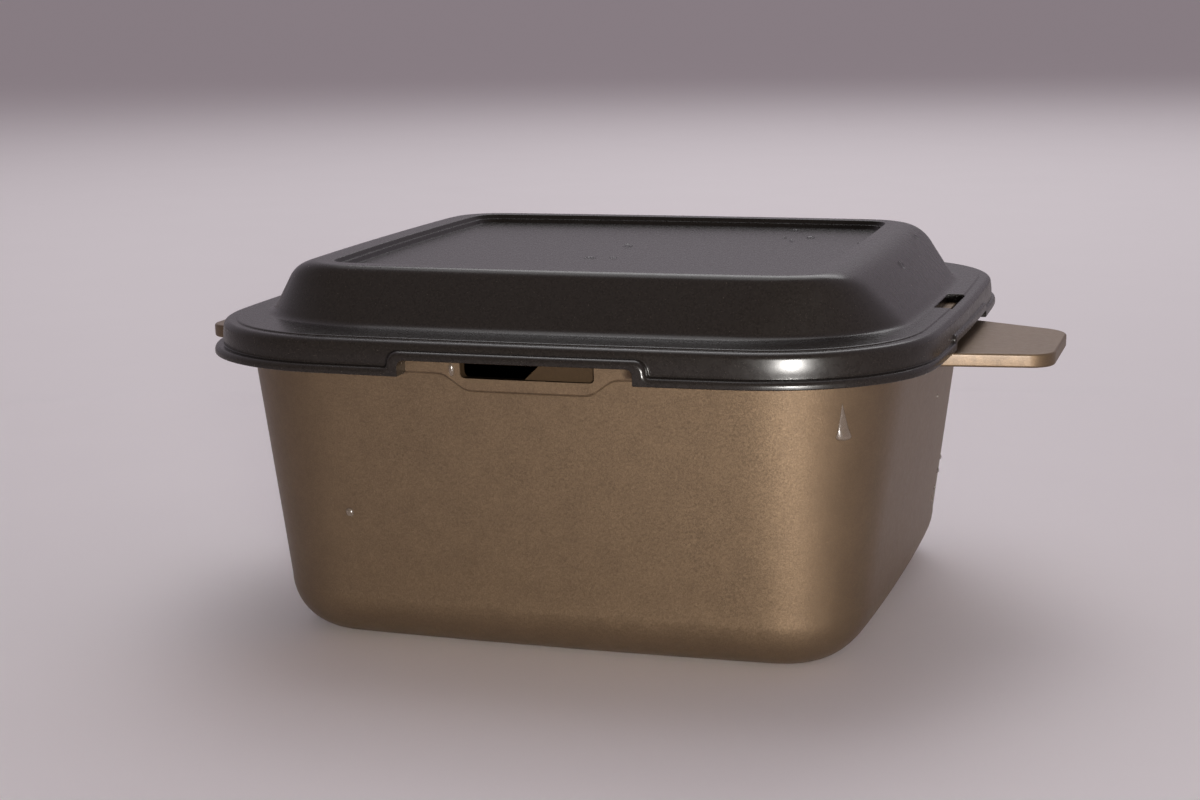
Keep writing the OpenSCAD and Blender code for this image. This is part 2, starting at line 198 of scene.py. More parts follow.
@dataclass(frozen=True)
class Outline:
    """The outline of every level: a core rectangle grown by a radius, with bowed sides."""

    core_x: float = 57.0
    core_y: float = 50.5
    lip_fade: float = 30.0
    corner_steps: int = 26
    blend_rows: int = 12
    blend_rounds: int = 26

    def plain(self, half: float, count: int) -> np.ndarray:
        """Evenly spread [place, lift] rows with no lift, between the two corners of a side."""
        return level_run(-half, half, count + 2)[1:-1]

    def ring(
        self,
        z: np.ndarray | float,
        r_front: np.ndarray | float,
        r_side: np.ndarray | float,
        bow: np.ndarray | float,
        front: np.ndarray,
        side: np.ndarray,
        more: float | None = None,
    ) -> np.ndarray:
        """One level of a loft, counter-clockwise from the front's low end.

        Args:
            z: Height of the level, or of each of its points.
            r_front: Growth at the front, the back and the corners.
            r_side: Growth along the two sides.
            bow: How far the middle of each side stands out.
            front: [place, lift] rows of the front, which the back repeats after half a turn.
            side: [place, lift] rows of the right side, which the left repeats.
            more: How much rounder the corners are, as quarters of an ellipse, or None for plain ones.

        Returns:
            One row [x, y, z] for each point, in millimetres.
        """
        steps = self.corner_steps + 1
        count = 2 * (len(front) + len(side)) + 4 * steps
        given = (z, r_front, r_side, bow)
        z, r_front, r_side, bow = (np.broadcast_to(value, count).astype(float) for value in given)
        x, y, lift = np.zeros(count), np.zeros(count), np.zeros(count)
        at = 0
        corners = []
        for half_turn in (1.0, -1.0):
            run = slice(at, at + len(front))
            x[run] = half_turn * front[:, 0]
            y[run] = -half_turn * (self.core_y + r_front[run])
            lift[run] = front[:, 1]
            turn = slice(run.stop, run.stop + steps)
            x[turn], y[turn] = self._corner(half_turn, -half_turn, r_front[turn], r_side[turn], more)
            run = slice(turn.stop, turn.stop + len(side))
            x[run] = half_turn * (self.core_x + r_side[run])
            y[run] = half_turn * side[:, 0]
            lift[run] = side[:, 1]
            corners += [turn.start, run.stop]
            turn = slice(run.stop, run.stop + steps)
            x[turn], y[turn] = self._corner(half_turn, half_turn, r_front[turn], r_side[turn], more)
            at = turn.stop
        self._blend(x, y, corners)
        a, b = self.core_x + r_side, self.core_y + r_front
        bent_x = x * (1.0 - bow / a * (y / b) ** 2)
        bent_y = y * (1.0 - bow / b * (x / a) ** 2)
        return np.column_stack([bent_x, bent_y, z + lift])

    def _blend(self, x: np.ndarray, y: np.ndarray, corners: list[int]) -> None:
        """Eases each corner into its two sides, so that light runs round it without a break.

        Args:
            x: The ring's x values.
            y: The ring's y values.
            corners: Places of the corners' first points.
        """
        spread = np.arange(-self.blend_rows, self.corner_steps + 1 + self.blend_rows)
        near = np.concatenate([(start + spread) % len(x) for start in corners])
        for _ in range(self.blend_rounds):
            for values in (x, y):
                values[near] = (0.5 * values + 0.25 * (np.roll(values, 1) + np.roll(values, -1)))[near]

    def _corner(
        self, side_x: float, side_y: float, r_front: np.ndarray, r_side: np.ndarray, more: float | None
    ) -> tuple[np.ndarray, np.ndarray]:
        """One corner's points.

        Args:
            side_x: 1 or -1, the side of the core's corner in x.
            side_y: 1 or -1, its side in y.
            r_front: Growth of each point at the front.
            r_side: Growth of each point at the sides.
            more: How much rounder than a plain corner it is, or None.

        Returns:
            Their x and y values.
        """
        start = (0.0 if side_x == side_y else -90.0) + (180.0 if side_x < 0 else 0.0)
        turn = np.radians(start + np.linspace(0.0, 90.0, self.corner_steps + 1))
        if more is None:
            off = np.degrees(np.abs(np.arcsin(np.clip(np.sin(turn), -1.0, 1.0))))
            r = r_side + (r_front - r_side) * ease(off / self.lip_fade)
            return side_x * self.core_x + r * np.cos(turn), side_y * self.core_y + r * np.sin(turn)
        x = side_x * (self.core_x - more) + (r_side + more) * np.cos(turn)
        return x, side_y * (self.core_y - more) + (r_front + more) * np.sin(turn)


class Solid:
    """A mesh object in the making, from lofts, unions and cuts."""

    def __init__(self, name: str) -> None:
        """Starts with no mesh; the first loft becomes the object."""
        self.name = name
        self.piece: bpy.types.Object | None = None

    @staticmethod
    def loft(name: str, rings: Sequence[np.ndarray]) -> bpy.types.Object:
        """Skins a stack of rings, with a flat cap at each end.

        Args:
            name: Name of the new object.
            rings: The levels, all with as many points, in millimetres.

        Returns:
            The closed object, with its normals pointing out.
        """
        count = len(rings[0])
        points = np.vstack(rings) * MM
        faces = []
        for low in range(len(rings) - 1):
            for j in range(count):
                a = low * count + j
                b = low * count + (j + 1) % count
                faces.append((a, b, b + count, a + count))
        faces.append(tuple(range(count - 1, -1, -1)))
        faces.append(tuple((len(rings) - 1) * count + j for j in range(count)))
        mesh = bpy.data.meshes.new(name)
        mesh.from_pydata(points.tolist(), [], faces)
        work = bmesh.new()
        work.from_mesh(mesh)
        bmesh.ops.recalc_face_normals(work, faces=work.faces)
        work.to_mesh(mesh)
        work.free()
        return placed(name, mesh)

    def start(self, rings: Sequence[np.ndarray]) -> None:
        """Makes the first loft the object itself."""
        self.piece = self.loft(self.name, rings)

    def join(self, other: bpy.types.Object) -> None:
        """Unites another object with this one and removes it."""
        self._boolean(other, "UNION")

    def cut(self, cutter: bpy.types.Object) -> None:
        """Takes a cutter's volume away and removes the cutter."""
        self._boolean(cutter, "DIFFERENCE")

    def _boolean(self, other: bpy.types.Object, operation: str) -> None:
        """Applies one boolean with another object, which is then removed.

        Args:
            other: The other object.
            operation: The boolean's kind.
        """
        modifier = self.piece.modifiers.new(operation.lower(), "BOOLEAN")
        modifier.operation = operation
        modifier.solver = "EXACT"
        modifier.object = other
        seen = self.piece.evaluated_get(bpy.context.evaluated_depsgraph_get())
        made = bpy.data.meshes.new_from_object(seen)
        self.piece.modifiers.clear()
        old = self.piece.data
        self.piece.data = made
        bpy.data.meshes.remove(old)
        bpy.data.objects.remove(other)

    def finish(self) -> bpy.types.Object:
        """Shades the object smoothly up to its true edges.

        Returns:
            The object.
        """
        mesh = self.piece.data
        mesh.name = self.name
        mesh.shade_smooth()
        mesh.set_sharp_from_angle(angle=SHARP_ANGLE)
        even = self.piece.modifiers.new("even_normals", "WEIGHTED_NORMAL")
        even.mode = "FACE_AREA"
        even.weight = 80
        even.keep_sharp = True
        return self.piece


def turned(rings: Sequence[np.ndarray]) -> list[np.ndarray]:
    """The same rings after half a turn about the upright axis."""
    return [ring * np.array([-1.0, -1.0, 1.0]) for ring in rings]


class Sheet:
    """A node tree of a material or a world, with short calls that add and link its nodes."""

    def __init__(self, name: str, kept_in: bpy.types.bpy_prop_collection | None = None) -> None:
        """Starts an empty tree.

        Args:
            name: Name of its owner, which is new.
            kept_in: The collection that keeps the owner, that of the materials if none is given.
        """
        self.owner = (bpy.data.materials if kept_in is None else kept_in).new(name)
        self.owner.use_nodes = True
        self.tree = self.owner.node_tree
        self.tree.nodes.clear()
        self.place = self.node("ShaderNodeTexCoord").outputs["Object"]

    def fill(self, sockets: Sequence[bpy.types.NodeSocket], values: Sequence[object]) -> None:
        """Links each value to its socket, or sets it there.

        Args:
            sockets: The inputs, of which those beyond the last value are left as they are.
            values: Sockets to link, or numbers, vectors and colours to set.
        """
        for socket, value in zip(sockets, values):
            if isinstance(value, bpy.types.NodeSocket):
                self.tree.links.new(value, socket)
            else:
                socket.default_value = (*value, 1.0) if socket.type == "RGBA" else value

    def node(self, kind: str, **values: object) -> bpy.types.Node:
        """Adds a node.

        Args:
            kind: The node's type name.
            **values: Input values and links by the input's name with _ for spaces, or node settings.

        Returns:
            The new node.
        """
        made = self.tree.nodes.new(kind)
        for name, value in values.items():
            socket = made.inputs.get(name.replace("_", " "))
            if socket is None:
                setattr(made, name, value)
            else:
                self.fill([socket], [value])
        return made

    def worked(self, kind: str, operation: str, *values: object) -> bpy.types.NodeSocket:
        """Adds a math node.

        Args:
            kind: The node's type name.
            operation: What it works out.
            *values: Numbers and sockets in the order of its inputs.

        Returns:
            The result's socket.
        """
        made = self.node(kind, operation=operation)
        self.fill(made.inputs, values)
        return made.outputs[0]

    def noise(self, grain: float, detail: float = 2.0, roughness: float = 0.5) -> bpy.types.NodeSocket:
        """A noise whose features are about grain millimetres across."""
        values = {"Scale": 1.0 / (grain * MM), "Detail": detail, "Roughness": roughness}
        return self.node("ShaderNodeTexNoise", Vector=self.place, **values).outputs["Fac"]

    def mapped(
        self,
        value: bpy.types.NodeSocket,
        reach: tuple[float, float],
        target: tuple[float, float] = (0.0, 1.0),
        way: str = "LINEAR",
    ) -> bpy.types.NodeSocket:
        """Moves a value from one range to another, and holds it inside that.

        Args:
            value: The value.
            reach: Its range.
            target: The new range.
            way: The kind of passage from end to end.

        Returns:
            The new value.
        """
        made = self.node("ShaderNodeMapRange", interpolation_type=way)
        self.fill(made.inputs, (value, *reach, *target))
        return made.outputs["Result"]

    def uneven(self, middle: float, less: float, more: float, grain: float) -> bpy.types.NodeSocket:
        """A value that wanders from less below its middle to more above it, over grain millimetres."""
        return self.mapped(self.noise(grain), (0.3, 0.7), (middle - less, middle + more))

    def blend(
        self, share: bpy.types.NodeSocket, first: Colour, second: Colour | bpy.types.NodeSocket
    ) -> bpy.types.NodeSocket:
        """Mixes two colours.

        Args:
            share: The second one's share, from 0 to 1.
            first: The first colour.
            second: The second colour.

        Returns:
            The mixed colour.
        """
        made = self.node("ShaderNodeMix", data_type="RGBA", Factor=share)
        self.fill(made.inputs[6:8], (first, second))
        return made.outputs[2]

    def bump(self, height: bpy.types.NodeSocket, depth: float) -> bpy.types.NodeSocket:
        """A normal that follows a height pattern depth millimetres deep."""
        made = self.node("ShaderNodeBump", Height=height, Strength=1.0, Distance=depth * MM)
        return made.outputs["Normal"]

    def close(self, **values: object) -> bpy.types.Material:
        """Ends the tree in one shader.

        Args:
            **values: The shader's input values and links.

        Returns:
            The material.
        """
        shader = self.node("ShaderNodeBsdfPrincipled", **values)
        self.node("ShaderNodeOutputMaterial", Surface=shader.outputs["BSDF"])
        return self.owner


@dataclass(frozen=True)
class PearlBronze:
    """Moulded plastic full of fine bronze flakes, with a satin face."""

    deep: Colour = (0.132, 0.089, 0.054)
    bright: Colour = (0.226, 0.154, 0.092)
    metallic: float = 0.85
    roughness: float = 0.56
    coat: float = 0.50
    coat_roughness: float = 0.30
    flake: float = 0.22
    flake_tilt: float = 0.10
    grain: float = 0.45
    grain_depth: float = 0.006
    cloud: float = 7.0

    def material(self) -> bpy.types.Material:
        """Builds the finish.

        Returns:
            The new material.
        """
        sheet = Sheet("pearl_bronze")
        scale = 1.0 / (self.flake * MM)
        flakes = sheet.node("ShaderNodeTexVoronoi", Vector=sheet.place, Scale=scale).outputs["Color"]
        chance = sheet.node("ShaderNodeSeparateColor", Color=flakes).outputs["Red"]
        half_chance = sheet.mapped(chance, (0.0, 1.0), (0.0, 0.5))
        cloud = sheet.noise(self.cloud, detail=3.0)
        tint = sheet.worked("ShaderNodeMath", "MULTIPLY_ADD", cloud, 0.5, half_chance)
        tilt = sheet.worked("ShaderNodeVectorMath", "SUBTRACT", flakes, (0.5, 0.5, 0.5))
        face = sheet.bump(sheet.noise(self.grain), self.grain_depth)
        lean = sheet.worked("ShaderNodeVectorMath", "MULTIPLY_ADD", tilt, (self.flake_tilt,) * 3, face)
        return sheet.close(
            Base_Color=sheet.blend(tint, self.deep, self.bright),
            Metallic=self.metallic,
            Roughness=sheet.uneven(self.roughness, 0.04, 0.05, self.grain * 4),
            Normal=sheet.worked("ShaderNodeVectorMath", "NORMALIZE", lean),
            Coat_Weight=self.coat,
            Coat_Roughness=self.coat_roughness,
        )


@dataclass(frozen=True)
class PaintedShadeBronze:
    """Painted shade down in the tub's notches: a dark, rough, barely glossy bronze that stands in for the
    shade that falls there.
    """

    deep: Colour = (0.030, 0.017, 0.008)
    bright: Colour = (0.050, 0.030, 0.014)
    roughness: float = 0.7
    gloss: float = 0.15
    grain: float = 0.5
    grain_depth: float = 0.02

    def material(self) -> bpy.types.Material:
        """Builds the finish.

        Returns:
            The new material.
        """
        sheet = Sheet("painted_shade_bronze")
        fine = sheet.noise(self.grain, detail=3.0)
        return sheet.close(
            Base_Color=sheet.blend(fine, self.deep, self.bright),
            Roughness=self.roughness,
            Specular_IOR_Level=self.gloss,
            Normal=sheet.bump(fine, self.grain_depth),
        )


@dataclass(frozen=True)
class GrainedCharcoal:
    """Dark moulded plastic with a fine satin grain."""

    name: str = "grained_charcoal"
    deep: Colour = (0.008, 0.0062, 0.0052)
    pale: Colour = (0.017, 0.0136, 0.0118)
    roughness: float = 0.27
    grain: float = 0.40
    grain_depth: float = 0.0025

    def material(self) -> bpy.types.Material:
        """Builds the finish.

        Returns:
            The new material.
        """
        sheet = Sheet(self.name)
        fine = sheet.noise(self.grain, detail=3.0, roughness=0.6)
        return sheet.close(
            Base_Color=sheet.blend(sheet.mapped(fine, (0.35, 0.65)), self.deep, self.pale),
            Roughness=sheet.uneven(self.roughness, 0.02, 0.03, self.grain * 5),
            Normal=sheet.bump(fine, self.grain_depth),
        )


@dataclass(frozen=True)
class ClearWater:
    """Water, for the drops that condense on the cooled container."""

    name: str = "clear_water"
    body: Colour = (0.97, 0.98, 1.0)
    clear: float = 1.0
    cover: float = 0.45
    bend: float = 1.333
    roughness: float = 0.2
    ripple: float = 1.2
    ripple_depth: float = 0.004

    def material(self) -> bpy.types.Material:
        """Builds the finish.

        Returns:
            The new material.
        """
        sheet = Sheet(self.name)
        return sheet.close(
            Base_Color=self.body,
            Roughness=self.roughness,
            IOR=self.bend,
            Specular_IOR_Level=1.0,
            Transmission_Weight=self.clear,
            Alpha=self.cover,
            Normal=sheet.bump(sheet.noise(self.ripple), self.ripple_depth),
        )


@dataclass(frozen=True)
class PaleGround:
    """The plain pale floor."""

    colour: Colour = (0.97, 0.92, 0.95)
    shade: Colour = (0.95, 0.90, 0.93)
    bounced: Colour = (0.60, 0.55, 0.56)
    roughness: float = 0.8
    cloud: float = 60.0

    def material(self) -> bpy.types.Material:
        """Builds the finish, paler for the viewer than in the container's faces.

        Returns:
            The new material.
        """
        sheet = Sheet("pale_ground")
        soft = sheet.blend(sheet.noise(self.cloud), self.shade, self.colour)
        seen = sheet.node("ShaderNodeLightPath").outputs["Is Camera Ray"]
        return sheet.close(Base_Color=sheet.blend(seen, self.bounced, soft), Roughness=self.roughness)


@dataclass
class Tub:
    """The tapered tub, with its band, bead, vent notches and side tabs."""

    outline: Outline
    height: float
    tab_end: float
    top_r: float = 27.9
    base_r: float = 19.9
    bow_rim: float = 2.8
    bow_base: float = 1.7
    base_fillet: float = 14.5
    wall: float = 2.2
    floor_t: float = 2.4
    recess_d: float = 0.8
    foot_w: float = 3.0
    band_h: float = 6.8
    band_out: float = 0.9
    band_step: float = 0.7
    band_foot: tuple[tuple[float, float], ...] = (
        (-0.3, 0.0), (0.0, 0.04), (0.2, 0.2), (0.4, 0.38), (0.6, 0.47), (0.9, 0.5),
    )
    bead_h: float = 1.6
    bead_out: float = 1.4
    bead_soft: float = 0.4
    notch_w: float = 33.4
    notch_h: float = 7.6
    notch_r: float = 1.2
    notch_recess: float = 2.0
    notch_flare: float = 0.35
    flare_mid: float = 0.3
    recess_over: float = 0.1
    recess_face: float = 0.8
    web_x: float = -1.1
    web_lean: float = 1.05
    pad_drop: float = 3.3
    pad_side: float = -0.6
    pad_flare: float = 5.8
    pad_soft: float = 0.09
    pad_clear: float = 1.0
    tab_root_w: float = 54.0
    tab_tip_w: float = 41.0
    tab_r: float = 8.0
    tab_root_r: float = 2.5
    tab_t: float = 3.5
    tab_edge: float = 0.6
    tab_drop: float = 6.5
    tab_lean: float = 2.0
    through: float = 1.0
    front_count: int = 110
    side_count: int = 60
    wall_levels: int = 14
    fillet_steps: int = 14
    edge_steps: int = 3
    tab_edge_steps: int = 4
    corner_steps: int = 8
    tab_steps: int = 14
    front: np.ndarray = field(init=False, repr=False)
    side: np.ndarray = field(init=False, repr=False)

    def __post_init__(self) -> None:
        """Works out the levels that the other sizes give."""
        self.band_z = self.height - self.band_h
        self.pad_z = self.height - self.notch_h - self.pad_drop
        self.band_r = self.top_r + self.band_out
        self.bead_r = self.band_r + self.bead_out
        self.rim_inner_r = self.top_r - self.wall
        self.front = self.outline.plain(self.outline.core_x, self.front_count)
        self.side = self.outline.plain(self.outline.core_y, self.side_count)

    def share(self, z: np.ndarray | float) -> np.ndarray | float:
        """How far up the wall a height is, from 0 at its foot to 1 under the band."""
        return (z - self.base_fillet) / (self.band_z - self.base_fillet)

    def wall_r(self, z: np.ndarray | float) -> np.ndarray | float:
        """Growth of the wall's outside at a height."""
        return self.base_r + (self.top_r - self.base_r) * self.share(z)

    def wall_bow(self, z: np.ndarray | float) -> np.ndarray | float:
        """Bow of the wall at a height."""
        return self.bow_base + (self.bow_rim - self.bow_base) * np.clip(self.share(z), 0.0, 1.0)

    def level(self, z: float, r: float) -> np.ndarray:
        """A level ring at a height, with a growth."""
        return self.outline.ring(z, r, r, self.wall_bow(z), self.front, self.side)

    def pad_level(self, rise: float, out: float) -> np.ndarray:
        """A ring that follows the band's lower edge, which dips round each notch.

        Args:
            rise: Height above that edge.
            out: How far it stands out from the wall.

        Returns:
            The ring.
        """
        low_x = self.notch_w / 2 + self.pad_side
        share = (np.abs(self.front[:, 0]) - low_x) / self.pad_flare
        dip = (self.pad_z - self.band_z) * (1.0 - soft_ramp(share, self.pad_soft))
        lifted = np.column_stack([self.front[:, 0], dip])
        flat = self.outline.ring(0.0, 1.0, 1.0, 0.0, lifted, self.side)
        z = self.band_z + flat[:, 2] + rise
        r = self.wall_r(z) + out
        return self.outline.ring(z, r, r, self.wall_bow(z), self.front, self.side)

    def rings(self) -> list[np.ndarray]:
        """All levels of the shell, from the middle of the base up the outside and down the inside.

        Returns:
            The rings, in that order.
        """
        foot_r = self.base_r - self.base_fillet - self.foot_w
        top = self.height
        made = [self.level(self.recess_d, foot_r), self.level(0.0, foot_r + self.recess_d)]
        base_round = rounding(self.base_fillet, 90.0, 0.0, self.fillet_steps)
        made += [self.level(rise, self.base_r - back) for back, rise in base_round]
        heights = np.linspace(self.base_fillet, self.pad_z - self.pad_clear, self.wall_levels)[1:]
        made += [self.level(z, self.wall_r(z)) for z in heights]
        made += [self.pad_level(self.band_step * rise, self.band_out * out) for rise, out in self.band_foot]
        low = top - self.bead_h
        made.append(self.level(low, self.band_r))
        edge = rounding(self.bead_soft, 90.0, 0.0, self.edge_steps)
        made += [self.level(low + rise, self.bead_r - back) for back, rise in edge]
        made += [self.level(top - drop, self.bead_r - back) for back, drop in edge[::-1]]
        made += [self.level(top - drop, self.rim_inner_r + back) for back, drop in edge]
        heights = np.linspace(self.pad_z, self.base_fillet + 2.0, self.wall_levels)
        made += [self.level(z, self.wall_r(z) - self.wall) for z in heights]
        inner, floor_z = self.base_r - self.wall, self.recess_d + self.floor_t
        floor_round = rounding(self.base_fillet - self.wall, 0.0, 90.0, self.fillet_steps)
        made += [self.level(floor_z + rise, inner - back) for back, rise in floor_round]
        return made

    def notch_outline(self, grow: float) -> np.ndarray:
        """The notch seen from the front, open above the rim.

        Args:
            grow: How much wider it is on every side.

        Returns:
            [x, z] rows.
        """
        half = self.notch_w / 2 + grow
        bottom = self.height - self.notch_h - grow
        r = self.notch_r
        left = arc((-half + r, bottom + r), r, 180.0, 270.0, self.corner_steps)
        right = arc((half - r, bottom + r), r, 270.0, 360.0, self.corner_steps)
        over = self.height + self.through
        return np.vstack([left, right, [[half, over], [-half, over]]])

    def vent_outline(self, grow: float) -> np.ndarray:
        """The part of the notch that goes right through, seen from the front.

        Args:
            grow: How much further its slanted side reaches.

        Returns:
            [x, z] rows.
        """
        half = self.notch_w / 2
        bottom = self.height - self.notch_h
        over = self.height + self.through
        r = self.notch_r
        left = arc((-half + r, bottom + r), r, 180.0, 270.0, self.corner_steps)
        foot = self.web_x + grow
        head = foot + self.web_lean * (self.notch_h + self.through)
        return np.vstack([left, [[foot, bottom], [head, over], [-half, over]]])

    def prism(self, name: str, slices: Sequence[tuple[float, np.ndarray]]) -> bpy.types.Object:
        """A cutter made of flat outlines, one behind the other.

        Args:
            name: Name of the new object.
            slices: Pairs of a depth y and its [x, z] rows, from the outside in.

        Returns:
            The cutter.
        """
        rings = [np.column_stack([rows[:, 0], np.full(len(rows), y), rows[:, 1]]) for y, rows in slices]
        return Solid.loft(name, rings)

    def notch_cutters(self) -> list[bpy.types.Object]:
        """The cutters of both notches, each with softened edges.

        Returns:
            The recess and the vent at the front, each followed by the one at the back.
        """
        face = -self.outline.core_y - self.band_r
        back = face + self.notch_recess
        inner = -self.outline.core_y - self.rim_inner_r
        flare, mid = self.notch_flare, self.notch_flare * self.flare_mid
        outside = face - self.bead_out - self.through
        cuts = (
            ("notch", self.notch_outline, outside, flare * 1.6, face, 0.02, back),
            ("vent", self.vent_outline, back - self.through, flare + 0.3, back, 0.01, inner + self.through),
        )
        made = []
        for name, outline, first, wide, front, ahead, last in cuts:
            slices = [(first, outline(wide)), (front - ahead, outline(flare)), (front + mid, outline(mid))]
            slices += [(front + flare, outline(0.0)), (last, outline(0.0))]
            made.append(self.prism(name, slices))
            behind = [(-y, rows * np.array([-1.0, 1.0])) for y, rows in slices]
            made.append(self.prism(name + "_back", behind))
        return made

    def tab_outline(self, inset: float) -> np.ndarray:
        """One tab's outline.

        Args:
            inset: How far it is drawn in from the tab's edge.

        Returns:
            [x, y] rows.
        """
        wall_x = self.outline.core_x + self.wall_r(self.band_z)
        root_x = wall_x - self.wall / 2
        end = self.tab_end - inset
        tip = self.tab_tip_w / 2 - inset
        r = self.tab_r - inset
        hollow = self.tab_root_r + inset
        hollow_x = wall_x + self.tab_root_r
        hollow_y = self.tab_root_w / 2 + self.tab_root_r
        turn = 90.0 - math.degrees(math.atan2((self.tab_root_w - self.tab_tip_w) / 2, self.tab_end - wall_x))
        half = np.vstack(
            [
                [[root_x, hollow_y + self.tab_root_r / 2]],
                arc((hollow_x, hollow_y), hollow, 200.0, 270.0, self.corner_steps),
                arc((end - r, tip - r), r, turn, 0.0, self.tab_steps),
            ]
        )
        return np.vstack([half, half[::-1] * np.array([1.0, -1.0])])

    def tab_rings(self) -> list[np.ndarray]:
        """Levels of the right tab, with round edges, leaning down towards its end.

        Returns:
            The rings, from the top down.
        """
        top = self.height - self.tab_drop
        rows = [(back, top - drop) for back, drop in rounding(self.tab_edge, 90.0, 0.0, self.tab_edge_steps)]
        rows += [(inset, 2 * top - self.tab_t - z) for inset, z in reversed(rows)]
        hinge = np.array([self.outline.core_x + self.wall_r(self.band_z), 0.0, top])
        lean = np.array(Matrix.Rotation(math.radians(self.tab_lean), 3, "Y"))
        made = []
        for inset, z in rows:
            plan = self.tab_outline(inset)
            ring = np.column_stack([plan, np.full(len(plan), z)])
            made.append((ring - hinge) @ lean.T + hinge)
        return made

    def build(self) -> bpy.types.Object:
        """Builds the tub's mesh.

        Returns:
            The finished object.
        """
        solid = Solid("tub_shell")
        solid.start(self.rings())
        right = self.tab_rings()
        solid.join(Solid.loft("tab_right", right))
        solid.join(Solid.loft("tab_left", turned(right)))
        for cutter in self.notch_cutters():
            solid.cut(cutter)
        return solid.finish()

    def dress(self, piece: bpy.types.Object, finish: PearlBronze, recess: PaintedShadeBronze) -> None:
        """Gives the tub its finishes and its place.

        Args:
            piece: The tub.
            finish: Its finish.
            recess: The painted shade inside its notches, a darker bronze that stands in for the shade there.
        """
        piece.data.materials.clear()
        piece.data.materials.append(finish.material())
        piece.data.materials.append(recess.material())
        # The faces down in the notches get the painted shade.
        half = (self.notch_w / 2 + self.recess_over) * MM
        low = (self.height - self.notch_h - self.recess_over) * MM
        face = (self.outline.core_y + self.band_r - self.recess_face) * MM
        inner = (self.outline.core_y + self.rim_inner_r - self.through) * MM
        for part in piece.data.polygons:
            centre = part.center
            inside = abs(centre.x) < half and centre.z > low and inner < abs(centre.y) < face
            part.material_index = 1 if inside else 0
        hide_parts("tub")
        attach(piece, "root")


